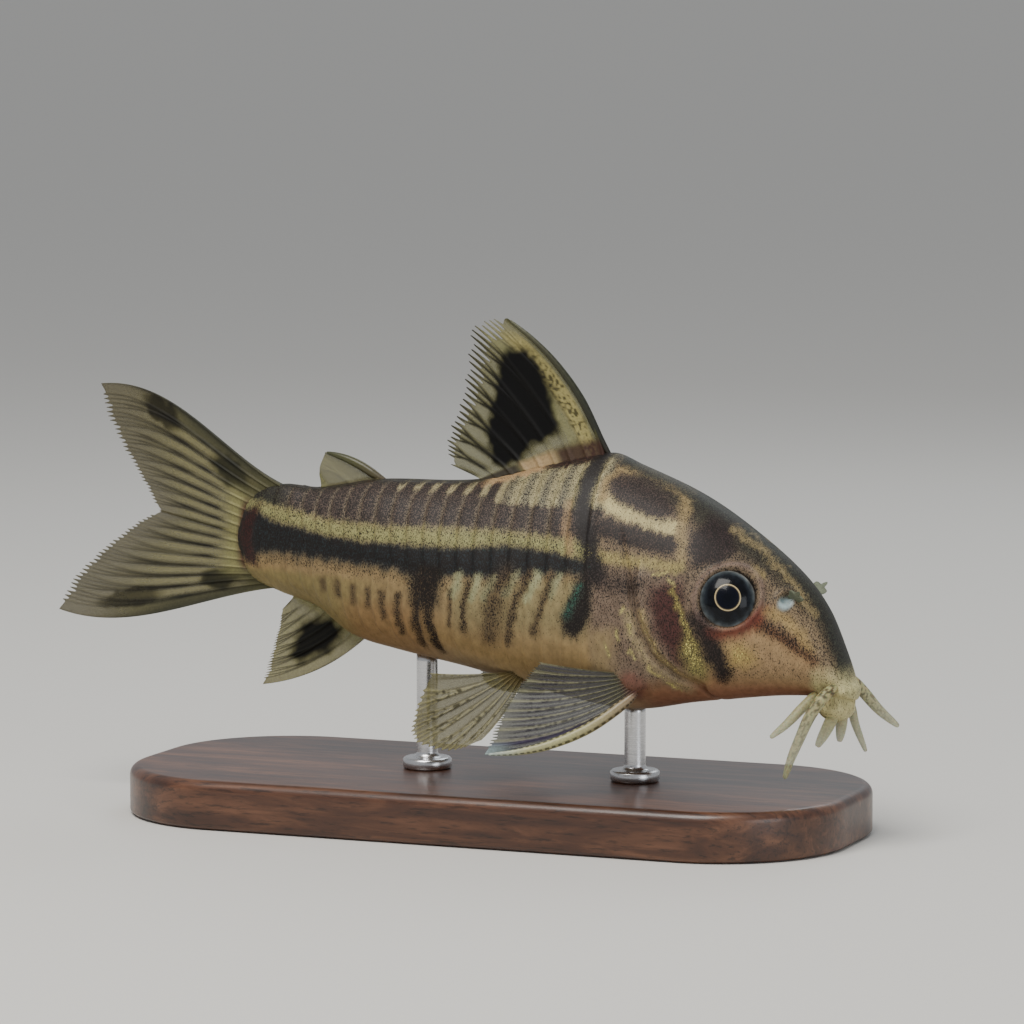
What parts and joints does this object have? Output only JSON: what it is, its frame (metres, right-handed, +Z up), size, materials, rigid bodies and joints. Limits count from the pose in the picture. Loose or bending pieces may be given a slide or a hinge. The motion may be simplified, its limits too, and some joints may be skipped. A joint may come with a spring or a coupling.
{
  "type": "corydoras catfish model",
  "caption": "Life-size still corydoras catfish with plated flanks, spined fins and mouth barbels, held above a small oblong base by short rods",
  "frame": {"origin": "centre of the flat underside of the display base", "axes": "+X towards the snout, +Y towards the fish's left side, +Z up"},
  "size_m": [0.0557, 0.0208, 0.0308],
  "materials": {
    "skin": "wet satin skin over bony plates, cream and tan with dark brown bars, a black mid-lateral stripe and gold and teal flecks",
    "eye": "clear gloss over a blue-black eye with a thin pale gold ring",
    "fin": "thin translucent membrane with olive rays and dark blotches",
    "barbel": "soft translucent cream, spotted dark near the root",
    "base_wood": "dark walnut with a satin oil finish",
    "rod_steel": "fine turned steel"
  },
  "bodies": {
    "root": {"head": "skin", "trunk": "skin", "tail": "skin", "eye_left": "eye", "eye_right": "eye", "dorsal_fin": "fin", "adipose_fin": "fin", "anal_fin": "fin", "caudal_fin_upper": "fin", "caudal_fin_lower": "fin", "pectoral_fin_left": "fin", "pectoral_fin_right": "fin", "pelvic_fin_left": "fin", "pelvic_fin_right": "fin", "barbel_maxillary_left": "barbel", "barbel_maxillary_right": "barbel", "barbel_rictal_left": "barbel", "barbel_rictal_right": "barbel", "barbel_mental_left": "barbel", "barbel_mental_right": "barbel", "stand_base": "base_wood", "stand_rod_front": "rod_steel", "stand_rod_rear": "rod_steel"}
  },
  "joints": []
}
